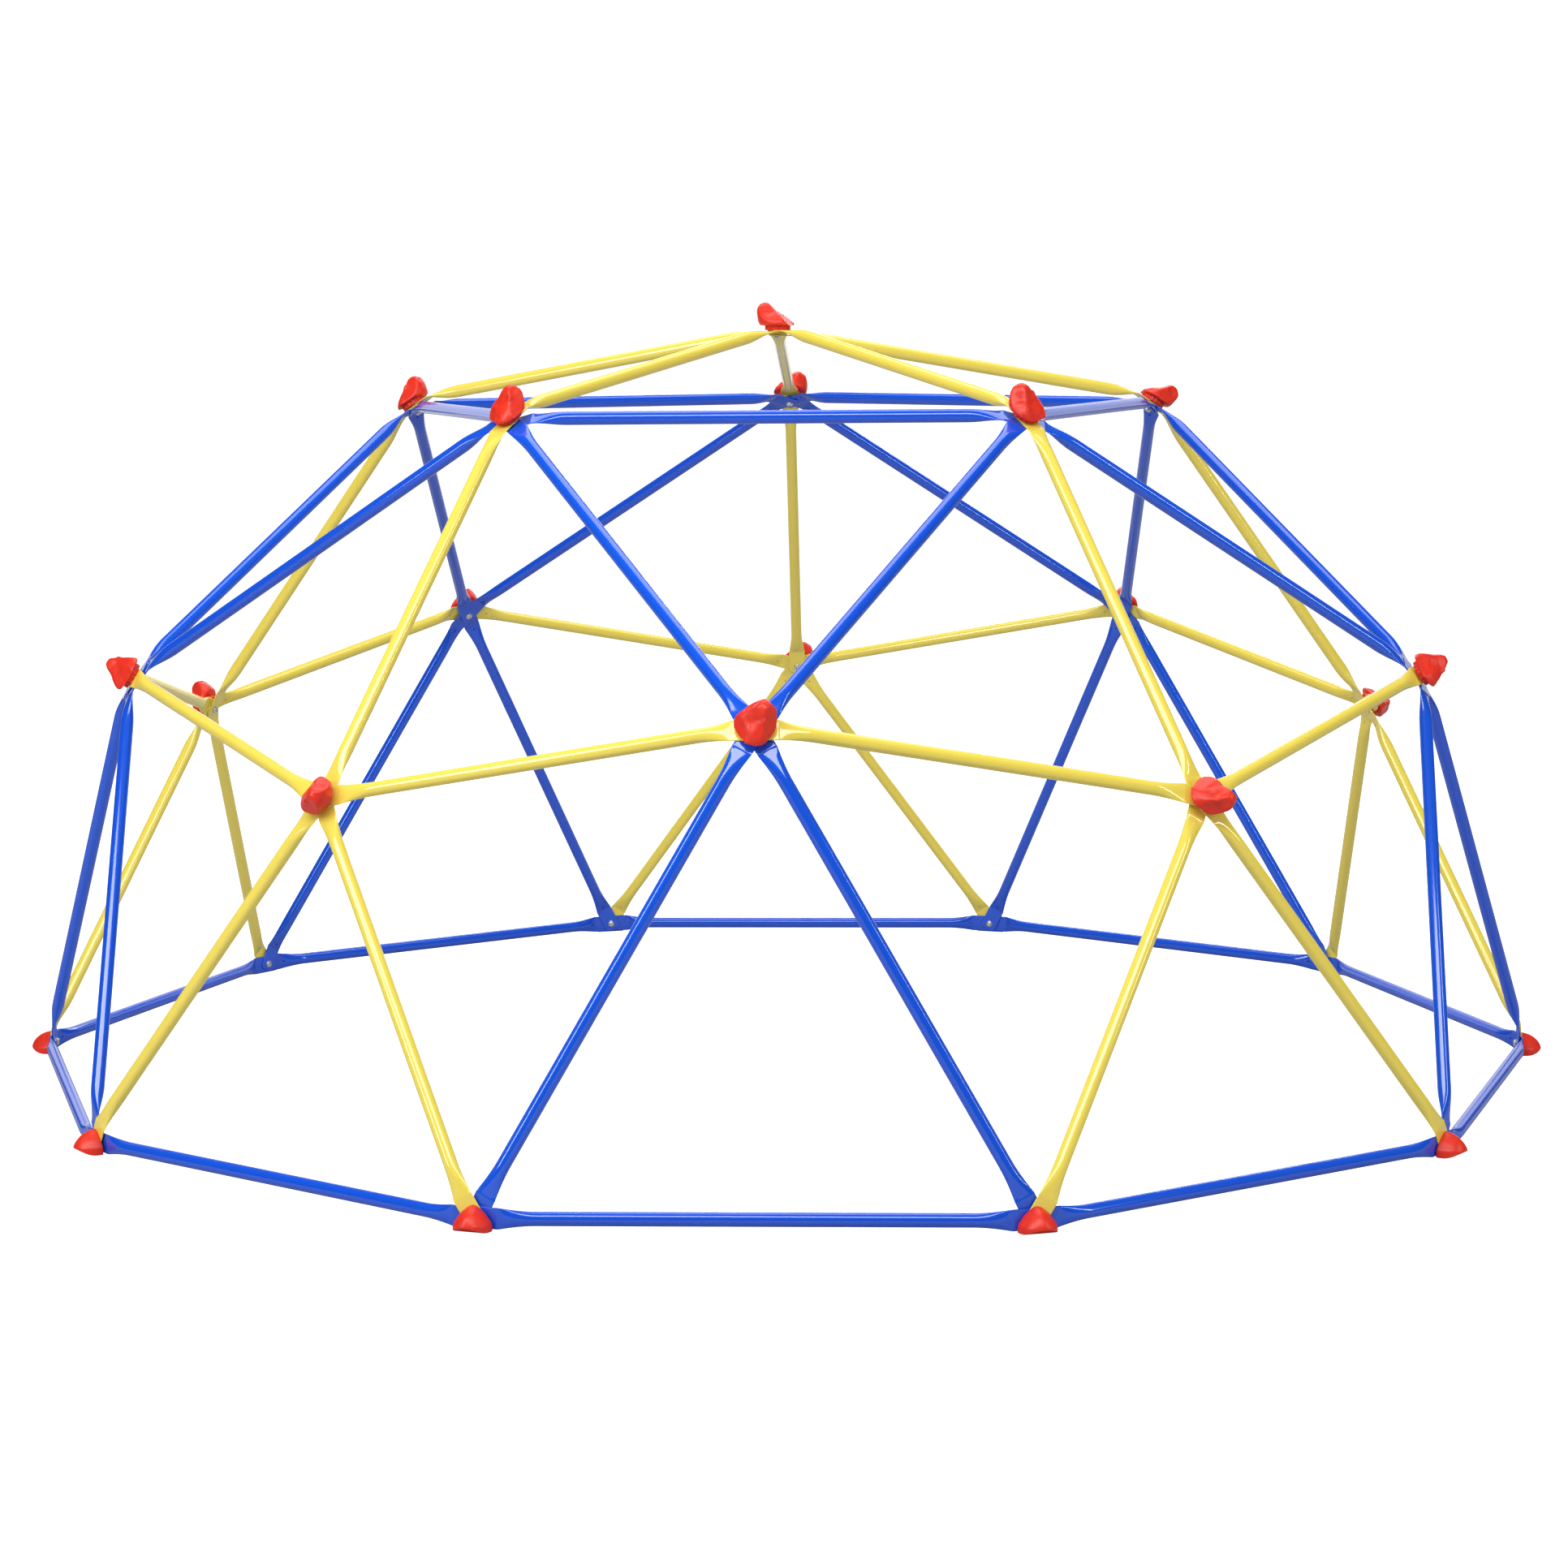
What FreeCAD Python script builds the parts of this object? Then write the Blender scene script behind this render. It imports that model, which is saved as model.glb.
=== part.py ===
import FreeCAD, Part
import math
import os

from FreeCAD import Placement, Rotation, Vector

# Dome climber: a two-frequency geodesic half-sphere of steel tube struts, bolted together
# at 26 hubs. +Z is up, the origin is on the ground under the middle of the dome, and the
# front faces -Y. All lengths are millimetres.

# Dome
HUB_RADIUS = 1524.0            # dome centre to the inner face of a six-way hub's tabs
FIVE_WAY_FACTOR = 0.96         # five-way hubs sit this much nearer to the dome's centre
APEX_FACTOR = 0.952            # and the apex hub a little nearer still
HUB_HEIGHT = 21.0              # ground hub's bolt above the ground

# Strut tube and its flattened ends
TUBE_RADIUS = 12.5
TUBE_WALL = 1.2
TAB_THICKNESS = 2 * TUBE_WALL
TAB_END = 15.0                 # bolt centre to the strut's end
TAB_CORNER = 9.0               # radius of the tab's two corners
CREASE = 40.0                  # bolt centre to the bend at the root of the tab
CREASE_HALF_LENGTH = 1.5
FLARE_LENGTH = 65.0            # crease to the full round tube
FLARE_STEPS = (0.12, 0.25, 0.40, 0.60, 0.80, 1.0)
FLARE_POWER = 1.0
DRAIN_OFFSET = 9.0             # crease to the drain hole
DRAIN_RADIUS = 2.0

# Hub bolt, washer and threaded insert
BOLT_RADIUS = 3.9
BOLT_LENGTH = 35.0
BOLT_CHAMFER = 1.0
BOLT_HOLE_RADIUS = 4.5
HEAD_RADIUS = 7.0
HEAD_HEIGHT = 4.4
HEAD_RIM = 1.4
SOCKET_FLATS = 5.0
SOCKET_DEPTH = 2.6
WASHER_RADIUS = 8.0
WASHER_THICKNESS = 1.6
INSERT_RADIUS = 6.0
INSERT_BORE = 4.0
INSERT_LENGTH = 18.0
INSERT_GROOVE = 1.0            # depth and half width of the groove that keys it in
BOLT_POCKET = 28.0             # depth of the pocket in a hold or cap for the bolt's tip

# Hand hold
COLLAR_RADIUS = 24.0
COLLAR_HEIGHT = 10.0
COLLAR_RIBS = 16
RIB_RADIUS = 1.6
# Each level of the hold: height, reach to its high side, reach to its low side, half width
HOLD_LEVELS = (
    (9.0, 35.0, 28.0, 31.5),
    (13.0, 38.0, 30.5, 35.5),
    (22.0, 41.0, 21.5, 33.0),
    (30.0, 43.0, 12.5, 29.0),
    (38.0, 43.0, 0.0, 24.5),
    (45.0, 41.0, -10.5, 19.0),
    (51.0, 36.0, -16.0, 12.5),
    (55.0, 29.0, -21.0, 5.0),
)

# Foot cap
CAP_HALF_WIDTH = 34.0
CAP_HEIGHT = 43.6
CAP_NOSE = 12.0                # height of the nose, where the top and the sole meet
CAP_DEPTH = 42.0
CAP_SLICES = (0.0, 0.12, 0.25, 0.45, 0.65, 0.82, 0.93, 0.985)
# Outline of the cap's back: share of the half width, and share of the height
CAP_ARCH = ((1.0, 0.0), (1.005, 0.16), (0.965, 0.34), (0.83, 0.50), (0.64, 0.69),
            (0.43, 0.84), (0.22, 0.955))
SOLE_FLAT = 0.25               # share of the depth over which the sole lies on the ground
SOLE_TRIM = 0.5                # moulded below the ground plane, then cut off flat

# Which way the high side of each hold points: degrees anticlockwise from uphill,
# seen from outside the dome
APEX_TURN = 90.0
CROWN_TURNS = (180.0, 45.0, 0.0, -15.0, 30.0)
LOWER_WAIST_TURNS = (-140.0, 40.0, 0.0, -105.0, -135.0)
UPPER_WAIST_TURNS = (-45.0, 40.0, 90.0, -42.0, -90.0)

# Polar angles of the hub rings, measured from the top of the dome
CROWN_POLAR = math.degrees(math.atan(2)) / 2
LOWER_WAIST_POLAR = math.degrees(math.atan(2))
UPPER_WAIST_POLAR = math.degrees(math.acos(math.sqrt((5 - math.sqrt(5)) / 10)))
GROUND_POLAR = 90.0

FIFTH = 72.0
TENTH = 36.0
UP = Vector(0, 0, 1)


class Hub:
    """A bolted joint: its place, its outward axis, and how many tabs are stacked on it."""

    def __init__(self, polar, azimuth, tabs, factor=1.0):
        radius = HUB_RADIUS * factor
        polar = math.radians(polar)
        azimuth = math.radians(azimuth)
        self.axis = Vector(math.sin(polar) * math.cos(azimuth),
                           math.sin(polar) * math.sin(azimuth), math.cos(polar))
        self.base = self.axis * radius + UP * HUB_HEIGHT
        self.tabs = tabs

    def level(self, index):
        """Middle of a tab's thickness, counting tabs outwards from 0."""
        return self.base + self.axis * ((index + 0.5) * TAB_THICKNESS)

    def outer_face(self):
        return self.base + self.axis * (self.tabs * TAB_THICKNESS)

    def uphill(self):
        if self.axis.z > 0.999:
            return Vector(0, 1, 0)
        return unit(UP - self.axis * self.axis.z)

    def placement(self, origin, turn):
        """Placement with local Z along the hub's axis and local X turned from uphill."""
        angle = math.radians(turn)
        uphill = self.uphill()
        x_axis = uphill * math.cos(angle) + self.axis.cross(uphill) * math.sin(angle)
        y_axis = self.axis.cross(x_axis)
        return Placement(origin, Rotation(x_axis, y_axis, self.axis, "ZXY"))


def apex_hub():
    return Hub(0.0, 0.0, 5, APEX_FACTOR)


def crown_hub(k):
    return Hub(CROWN_POLAR, FIFTH / 4 + FIFTH * k, 6)


def lower_waist_hub(k):
    return Hub(LOWER_WAIST_POLAR, FIFTH / 4 + FIFTH * k, 5, FIVE_WAY_FACTOR)


def upper_waist_hub(k):
    return Hub(UPPER_WAIST_POLAR, FIFTH * 3 / 4 + FIFTH * k, 6)


def ground_hub(j):
    return Hub(GROUND_POLAR, TENTH * j, 4)


def unit(vector):
    return vector * (1.0 / vector.Length)


def revolve(points):
    """Solid of revolution about Z from (radius, height) points."""
    corners = [Vector(radius, 0, height) for radius, height in points]
    return Part.Face(Part.makePolygon(corners + corners[:1])).revolve(Vector(), UP, 360)


# Struts

def tube_section(centre, side, out, half_height, inset=0.0):
    """Outline of the tube squeezed to half_height: two side arcs joined by two wide arcs.

    The outline keeps the tube's girth. It is a circle at half_height TUBE_RADIUS and a
    flat tab with round edges at half TAB_THICKNESS. inset moves it inwards.
    """
    half_width = TUBE_RADIUS + (TUBE_RADIUS - half_height) * (math.pi / 2 - 1)
    flat = TAB_THICKNESS / 2
    roundness = (half_height - flat) / (TUBE_RADIUS - flat)
    slope = math.tan(math.pi / 8) * roundness
    side_radius = (half_height - slope * half_width) / (1 - slope)
    corner = math.pi / 2 - 2 * math.atan(slope)
    corner_x = half_width - side_radius + (side_radius - inset) * math.cos(corner)
    corner_z = (side_radius - inset) * math.sin(corner)

    def point(x, z):
        return centre + side * x + out * z

    def wide_edge(sign):
        start = point(sign * corner_x, sign * corner_z)
        end = point(-sign * corner_x, sign * corner_z)
        if roundness < 1e-6:
            return Part.LineSegment(start, end).toShape()
        return Part.Arc(start, point(0, sign * (half_height - inset)), end).toShape()

    def side_edge(sign):
        start = point(sign * corner_x, -sign * corner_z)
        middle = point(sign * (half_width - inset), 0)
        return Part.Arc(start, middle, point(sign * corner_x, sign * corner_z)).toShape()

    return Part.Wire([side_edge(1), wide_edge(1), side_edge(-1), wide_edge(-1)])


def flare_half_height(step):
    """Half height of the tube at a fraction of the flare, from flat to round."""
    flat = TAB_THICKNESS / 2
    return flat + (TUBE_RADIUS - flat) * math.sin(step * math.pi / 2) ** FLARE_POWER


def tab_outline(bolt, along, side, out):
    """Slab as wide as the tab with its two outer corners rounded."""
    reach = TUBE_RADIUS
    tip = -TAB_END
    root = CREASE + CREASE_HALF_LENGTH
    tab_half = TUBE_RADIUS + (TUBE_RADIUS - TAB_THICKNESS / 2) * (math.pi / 2 - 1)
    bulge = TAB_CORNER * (1 - math.sqrt(0.5))

    def point(x, y):
        return bolt + along * x + side * y - out * reach

    def line(start, end):
        return Part.LineSegment(start, end).toShape()

    edges = []
    for sign in (1, -1):
        edges.append(Part.Arc(point(tip + TAB_CORNER, sign * tab_half),
                              point(tip + bulge, sign * (tab_half - bulge)),
                              point(tip, sign * (tab_half - TAB_CORNER))).toShape())
        edges.append(line(point(tip + TAB_CORNER, sign * tab_half),
                          point(root, sign * tab_half)))
    edges.append(line(point(tip, tab_half - TAB_CORNER), point(tip, TAB_CORNER - tab_half)))
    edges.append(line(point(root, tab_half), point(root, -tab_half)))
    wire = Part.Wire(Part.sortEdges(edges)[0])
    return Part.Face(wire).extrude(out * (2 * reach))


def strut_end(bolt, axis, along, side, crease, tube):
    """One end of a strut: solids of the tab, bend and flare, and the holes to cut.

    bolt is the tab's middle, axis the bolt's direction, along the tab's direction,
    crease the bend's middle, and tube the direction of the round tube.
    """
    flat = TAB_THICKNESS / 2
    tube_out = unit(side.cross(tube))
    if tube_out.dot(axis) < 0:
        tube_out = tube_out * -1.0
    bend_start = crease - along * CREASE_HALF_LENGTH
    bend_end = crease + tube * CREASE_HALF_LENGTH

    tip = tube_section(bolt - along * TAB_END, side, axis, flat)
    first = tube_section(bend_start, side, axis, flat)
    last = tube_section(bend_end, side, tube_out, flat)
    tab = Part.makeLoft([tip, first], True, True)
    tab = tab.common(tab_outline(bolt, along, side, axis))
    bend = Part.makeLoft([first, last], True, True)

    outer = [last]
    inner = []
    for step in FLARE_STEPS:
        place = bend_end + tube * (FLARE_LENGTH * step)
        height = flare_half_height(step)
        outer.append(tube_section(place, side, tube_out, height))
        inner.append(tube_section(place, side, tube_out, height, TUBE_WALL))
    flare = Part.makeLoft(outer, True)
    hollow = Part.makeLoft(inner, True)

    bolt_hole = Part.makeCylinder(BOLT_HOLE_RADIUS, 4 * TAB_THICKNESS,
                                  bolt - axis * (2 * TAB_THICKNESS), axis)
    drain_centre = bend_end + tube * DRAIN_OFFSET
    drain = Part.makeCylinder(DRAIN_RADIUS, TUBE_RADIUS, drain_centre, tube_out * -1.0)
    return [tab, bend, flare], [hollow, bolt_hole, drain], outer[-1], inner[-1]


def strut(hub_a, level_a, hub_b, level_b):
    """Tube from one hub to another, with a tab on the given level at each."""
    bolt_a = hub_a.level(level_a)
    bolt_b = hub_b.level(level_b)
    chord = bolt_b - bolt_a
    side = unit(hub_a.axis.cross(hub_b.axis))
    along_a = unit(chord - hub_a.axis * chord.dot(hub_a.axis))
    along_b = unit(hub_b.axis * chord.dot(hub_b.axis) - chord)
    crease_a = bolt_a + along_a * CREASE
    crease_b = bolt_b + along_b * CREASE
    tube = unit(crease_b - crease_a)

    solids_a, cuts_a, outer_a, inner_a = strut_end(
        bolt_a, hub_a.axis, along_a, side, crease_a, tube)
    solids_b, cuts_b, outer_b, inner_b = strut_end(
        bolt_b, hub_b.axis, along_b, side, crease_b, tube * -1.0)
    middle = Part.makeLoft([outer_a, outer_b], True, True)
    bore = Part.makeLoft([inner_a, inner_b], True, True)

    body = middle.fuse(solids_a + solids_b).removeSplitter()
    return body.cut([bore] + cuts_a + cuts_b)


def around(shape, step, count=5):
    """Copies of a shape turned about the dome's axis."""
    copies = []
    for k in range(count):
        copy = shape.copy()
        copy.rotate(Vector(), UP, step * k)
        copies.append(copy)
    return copies


# Every strut has its own level in the stack of tabs at each hub, 0 being the innermost.

def apex_struts():
    """Apex to crown ring: each has its own level in the apex stack."""
    return [strut(apex_hub(), k, crown_hub(k), 5) for k in range(5)]


def crown_ring_struts():
    return around(strut(crown_hub(0), 0, crown_hub(1), 1), FIFTH)


def upper_yellow_struts():
    return around(strut(crown_hub(0), 4, lower_waist_hub(0), 0), FIFTH)


def upper_blue_pairs():
    left = strut(crown_hub(1), 3, upper_waist_hub(0), 0)
    right = strut(crown_hub(0), 2, upper_waist_hub(0), 1)
    return pairs(left, right)


def waist_struts():
    first = around(strut(lower_waist_hub(0), 3, upper_waist_hub(0), 4), FIFTH)
    second = around(strut(upper_waist_hub(0), 5, lower_waist_hub(1), 4), FIFTH)
    return [piece for pair in zip(first, second) for piece in pair]


def blue_leg_pairs():
    right = strut(upper_waist_hub(0), 3, ground_hub(1), 0)
    left = strut(upper_waist_hub(0), 2, ground_hub(2), 0)
    return pairs(left, right)


def yellow_leg_pairs():
    right = strut(lower_waist_hub(0), 1, ground_hub(0), 3)
    left = strut(lower_waist_hub(0), 2, ground_hub(1), 3)
    return pairs(left, right)


def base_ring_struts():
    return around(strut(ground_hub(0), 1, ground_hub(1), 2), TENTH, 10)


def pairs(left, right):
    """The two struts of a V as one group, repeated around the dome."""
    return around(Part.makeCompound([left, right]), FIFTH)


# Hub fasteners

def bolt():
    """Button-head socket bolt: local Z runs from under the head to the tip."""
    head = revolve([(0, 0), (HEAD_RADIUS, 0), (HEAD_RADIUS, -HEAD_RIM),
                    (HEAD_RADIUS * 0.86, -HEAD_HEIGHT * 0.72),
                    (HEAD_RADIUS * 0.55, -HEAD_HEIGHT), (0, -HEAD_HEIGHT)])
    shank = revolve([(0, 0), (BOLT_RADIUS, 0), (BOLT_RADIUS, BOLT_LENGTH - BOLT_CHAMFER),
                     (BOLT_RADIUS - BOLT_CHAMFER, BOLT_LENGTH), (0, BOLT_LENGTH)])
    corner = SOCKET_FLATS / math.sqrt(3)
    ring = [Vector(corner * math.cos(math.radians(60 * i)),
                   corner * math.sin(math.radians(60 * i)), -HEAD_HEIGHT)
            for i in range(7)]
    socket = Part.Face(Part.makePolygon(ring)).extrude(UP * SOCKET_DEPTH)
    return head.fuse(shank).cut(socket)


def washer():
    return revolve([(BOLT_HOLE_RADIUS, 0), (WASHER_RADIUS, 0),
                    (WASHER_RADIUS, WASHER_THICKNESS), (BOLT_HOLE_RADIUS, WASHER_THICKNESS)])


def insert_side():
    """Outer side of the insert: a cylinder with one groove that keys it in."""
    middle = INSERT_LENGTH / 2
    waist = INSERT_RADIUS - INSERT_GROOVE
    return [(INSERT_RADIUS, 0), (INSERT_RADIUS, middle - 2 * INSERT_GROOVE),
            (waist, middle - INSERT_GROOVE), (waist, middle + INSERT_GROOVE),
            (INSERT_RADIUS, middle + 2 * INSERT_GROOVE), (INSERT_RADIUS, INSERT_LENGTH)]


def threaded_insert():
    """Metal sleeve moulded into a hold or cap."""
    return revolve([(INSERT_BORE, 0)] + insert_side() + [(INSERT_BORE, INSERT_LENGTH)])


def insert_pocket():
    """Space in the plastic that the insert fills, and the bolt tip's hole beyond it."""
    tip_hole = [(BOLT_HOLE_RADIUS, INSERT_LENGTH), (BOLT_HOLE_RADIUS, BOLT_POCKET),
                (0, BOLT_POCKET)]
    return revolve([(0, 0)] + insert_side() + tip_hole)


# Plastic pieces

def closed_curve(points):
    curve = Part.BSplineCurve()
    curve.interpolate(points, PeriodicFlag=True)
    return Part.Wire([curve.toShape()])


def hold_level(height, high, low, half_width):
    """One level of the hold: a rounded triangle, narrow at the high side."""
    length = high + low

    def point(along, across):
        return Vector(-low + length * along, half_width * across, height)

    half = [(0.93, 0.55), (0.62, 0.94), (0.24, 0.92), (0.03, 0.48)]
    points = [point(1.0, 0)]
    points += [point(x, y) for x, y in half]
    points += [point(0, 0)]
    points += [point(x, -y) for x, y in reversed(half)]
    return closed_curve(points)


def hand_hold():
    """Rock-shaped hold: ribbed collar below an overhanging body with one high side."""
    body = Part.makeLoft([hold_level(*level) for level in HOLD_LEVELS], True)
    collar = Part.makeCylinder(COLLAR_RADIUS, COLLAR_HEIGHT)
    ribs = []
    for i in range(COLLAR_RIBS):
        angle = 2 * math.pi * i / COLLAR_RIBS
        place = Vector(COLLAR_RADIUS * math.cos(angle), COLLAR_RADIUS * math.sin(angle), 0)
        ribs.append(Part.makeCylinder(RIB_RADIUS, COLLAR_HEIGHT, place))
    whole = body.fuse([collar] + ribs)
    return whole.cut(insert_pocket())


def cap_slice(fraction):
    """Outline of the foot cap at a fraction of its depth: an arch above a straight sole.

    The sole lies flat near the hub, then rises to the nose.
    """
    width = CAP_HALF_WIDTH * math.sqrt(1 - fraction ** 2.2)
    top = CAP_NOSE + (CAP_HEIGHT - CAP_NOSE) * (1 - fraction ** 1.8) ** 0.62
    rise = max(0.0, (fraction - SOLE_FLAT) / (1 - SOLE_FLAT)) ** 2
    sole = CAP_NOSE * rise - SOLE_TRIM
    depth = CAP_DEPTH * fraction

    def point(across, up):
        return Vector(sole + (top - sole) * up, width * across, depth)

    points = [point(x, z) for x, z in CAP_ARCH]
    points += [point(0, 1)]
    points += [point(-x, z) for x, z in reversed(CAP_ARCH)]
    curve = Part.BSplineCurve()
    curve.interpolate(points)
    line = Part.LineSegment(points[-1], points[0])
    return Part.Wire([curve.toShape(), line.toShape()])


def foot_cap():
    """Half-dome cap with a flat sole: local X is up from the ground, local Z outwards."""
    body = Part.makeLoft([cap_slice(fraction) for fraction in CAP_SLICES], True)
    pocket = insert_pocket()
    pocket.translate(Vector(HUB_HEIGHT, 0, 0))
    below = Part.makeBox(CAP_HEIGHT, 4 * CAP_HALF_WIDTH, 4 * CAP_DEPTH,
                         Vector(-CAP_HEIGHT, -2 * CAP_HALF_WIDTH, -2 * CAP_DEPTH))
    return body.cut([pocket, below])


# Whole dome

def all_hubs():
    hubs = [apex_hub()]
    hubs += [crown_hub(k) for k in range(5)]
    hubs += [lower_waist_hub(k) for k in range(5)]
    hubs += [upper_waist_hub(k) for k in range(5)]
    hubs += [ground_hub(j) for j in range(10)]
    return hubs


def placed(shape, placement):
    copy = shape.copy()
    copy.Placement = placement.multiply(copy.Placement)
    return copy


def holds(hubs, turns):
    shape = hand_hold()
    return [placed(shape, hub.placement(hub.outer_face(), turn))
            for hub, turn in zip(hubs, turns)]


def foot_caps():
    shape = foot_cap()
    caps = []
    for j in range(10):
        hub = ground_hub(j)
        heel = hub.outer_face() - UP * HUB_HEIGHT
        caps.append(placed(shape, hub.placement(heel, 0.0)))
    return caps


def at_hubs(shape, hubs, lift, from_outer=False):
    """A fastener repeated at hubs, lifted along each hub's axis."""
    pieces = []
    for hub in hubs:
        start = hub.outer_face() if from_outer else hub.base
        pieces.append(placed(shape, hub.placement(start + hub.axis * lift, 0.0)))
    return pieces


def save(name, pieces):
    if not isinstance(pieces, list):
        pieces = [pieces]
    Part.makeCompound(pieces).exportStep("parts/" + name + ".step")


def save_each(name, pieces):
    for number, piece in enumerate(pieces, 1):
        save("%s_%02d" % (name, number), piece)


def main():
    os.makedirs("parts", exist_ok=True)
    save_each("apex_strut", apex_struts())
    save_each("crown_ring_strut", crown_ring_struts())
    save_each("upper_yellow_strut", upper_yellow_struts())
    save_each("upper_blue_strut_pair", upper_blue_pairs())
    save_each("waist_strut", waist_struts())
    save_each("blue_leg_pair", blue_leg_pairs())
    save_each("yellow_leg_pair", yellow_leg_pairs())
    save_each("base_ring_strut", base_ring_struts())

    hubs = all_hubs()
    save("apex_hold", holds([apex_hub()], [APEX_TURN]))
    save("crown_holds", holds([crown_hub(k) for k in range(5)], CROWN_TURNS))
    save("lower_waist_holds", holds([lower_waist_hub(k) for k in range(5)],
                                    LOWER_WAIST_TURNS))
    save("upper_waist_holds", holds([upper_waist_hub(k) for k in range(5)],
                                    UPPER_WAIST_TURNS))
    save("foot_caps", foot_caps())
    save("hub_bolts", at_hubs(bolt(), hubs, -WASHER_THICKNESS))
    save("hub_washers", at_hubs(washer(), hubs, -WASHER_THICKNESS))
    save("hold_inserts", at_hubs(threaded_insert(), hubs[:16], 0.0, True))
    save("cap_inserts", at_hubs(threaded_insert(), hubs[16:], 0.0, True))


main()
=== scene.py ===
import math

import bpy
import numpy as np
from mathutils import Matrix, Vector, noise


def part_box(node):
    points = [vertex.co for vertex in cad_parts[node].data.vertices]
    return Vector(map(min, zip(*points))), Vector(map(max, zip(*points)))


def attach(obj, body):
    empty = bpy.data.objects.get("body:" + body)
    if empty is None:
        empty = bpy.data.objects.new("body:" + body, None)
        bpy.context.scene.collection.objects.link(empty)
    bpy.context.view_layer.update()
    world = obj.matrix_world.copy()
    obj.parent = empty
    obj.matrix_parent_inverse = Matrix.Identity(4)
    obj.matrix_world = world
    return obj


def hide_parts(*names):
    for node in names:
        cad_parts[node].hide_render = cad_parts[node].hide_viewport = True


# Dome climber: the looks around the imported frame. Metres, +Z up, front towards -Y.
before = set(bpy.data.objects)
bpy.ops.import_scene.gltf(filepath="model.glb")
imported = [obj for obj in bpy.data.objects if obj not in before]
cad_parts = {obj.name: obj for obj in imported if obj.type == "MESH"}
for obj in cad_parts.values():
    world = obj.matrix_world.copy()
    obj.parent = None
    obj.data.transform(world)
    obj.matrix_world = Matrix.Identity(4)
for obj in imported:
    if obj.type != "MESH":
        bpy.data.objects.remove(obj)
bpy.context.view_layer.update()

MM = 0.001
FIFTH = 72.0                   # degrees
TENTH = 36.0
FIVE_WAY_FACTOR = 0.96         # the five-way waist hubs stand a little inside the sphere

# Driving dimensions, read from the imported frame
ring_low, ring_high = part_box("base_ring_strut_01")
washer_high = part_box("hub_washers")[1]
HUB_HEIGHT = (ring_low.z + ring_high.z) / 2
HUB_RADIUS = washer_high.x
APEX_RADIUS = washer_high.z - HUB_HEIGHT
FIVE_WAY_RADIUS = FIVE_WAY_FACTOR * HUB_RADIUS

# Strut tube and its flattened ends
TUBE_RADIUS = 12.5 * MM
TAB_THICKNESS = 2.4 * MM
TAB_END = 15 * MM
TAB_CORNER = 9 * MM
TAB_BEVEL = 0.4 * MM
TAB_TIP_FLATTENING = 0.55
TAB_RINGS = (TAB_BEVEL, 1.2 * MM, 2.6 * MM, 4.6 * MM, 6.8 * MM, TAB_CORNER)
CREASE = 40 * MM
CREASE_HALF_LENGTH = 1.5 * MM
FLARE_LENGTH = 65 * MM
FLARE_STEPS = 16
FLARE_SPACING = 1.25           # above 1 puts more rings near the crease
OVAL_FROM = 0.25               # roundness above which the section is a plain ellipse
ARC_STEPS = 8
DRAIN_OFFSET = 9 * MM
DRAIN_RADIUS = 2 * MM
DRAIN_FLOOR = 0.4 * MM         # the drain hole ends this far short of the middle
BOLT_HOLE_RADIUS = 4.5 * MM
BOLT_HOLE_CUT = 5 * MM         # half length of the cutter that makes a bolt hole

# Fasteners
HEAD_RADIUS = 7 * MM
HEAD_HEIGHT = 4.4 * MM
HEAD_RIM = 1.2 * MM
HEAD_DOME_ANGLE = 1.15         # radians
SOCKET_RADIUS = 2.9 * MM
SOCKET_DEPTH = 2.6 * MM
SHANK_RADIUS = 3.9 * MM
BOLT_LENGTH = 35 * MM
BOLT_CHAMFER = 1 * MM
POLE_RADIUS = 0.2 * MM         # radius of the small ring where a lathed shape closes
WASHER_RADIUS = 8 * MM
WASHER_THICKNESS = 1.6 * MM
INSERT_RADIUS = 6 * MM
INSERT_LENGTH = 18 * MM
BOLT_POCKET = 28 * MM
POCKET_POLE_RADIUS = 0.3 * MM

# Which way the high side of each hold points: degrees anticlockwise from uphill
APEX_TURN = 90.0
CROWN_TURNS = (180.0, 45.0, 0.0, -15.0, 30.0)
LOWER_WAIST_TURNS = (-140.0, 40.0, 0.0, -105.0, -135.0)
UPPER_WAIST_TURNS = (-45.0, 40.0, 90.0, -42.0, -90.0)

# Polar angles of the hub rings
CROWN_POLAR = math.degrees(math.atan(2)) / 2
LOWER_WAIST_POLAR = math.degrees(math.atan(2))
UPPER_WAIST_POLAR = math.degrees(math.acos(math.sqrt((5 - math.sqrt(5)) / 10)))
GROUND_POLAR = 90.0
UP = np.array([0.0, 0.0, 1.0])


def unit(vector):
    return vector / np.linalg.norm(vector)


# Hubs ---------------------------------------------------------------------------------

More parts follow.
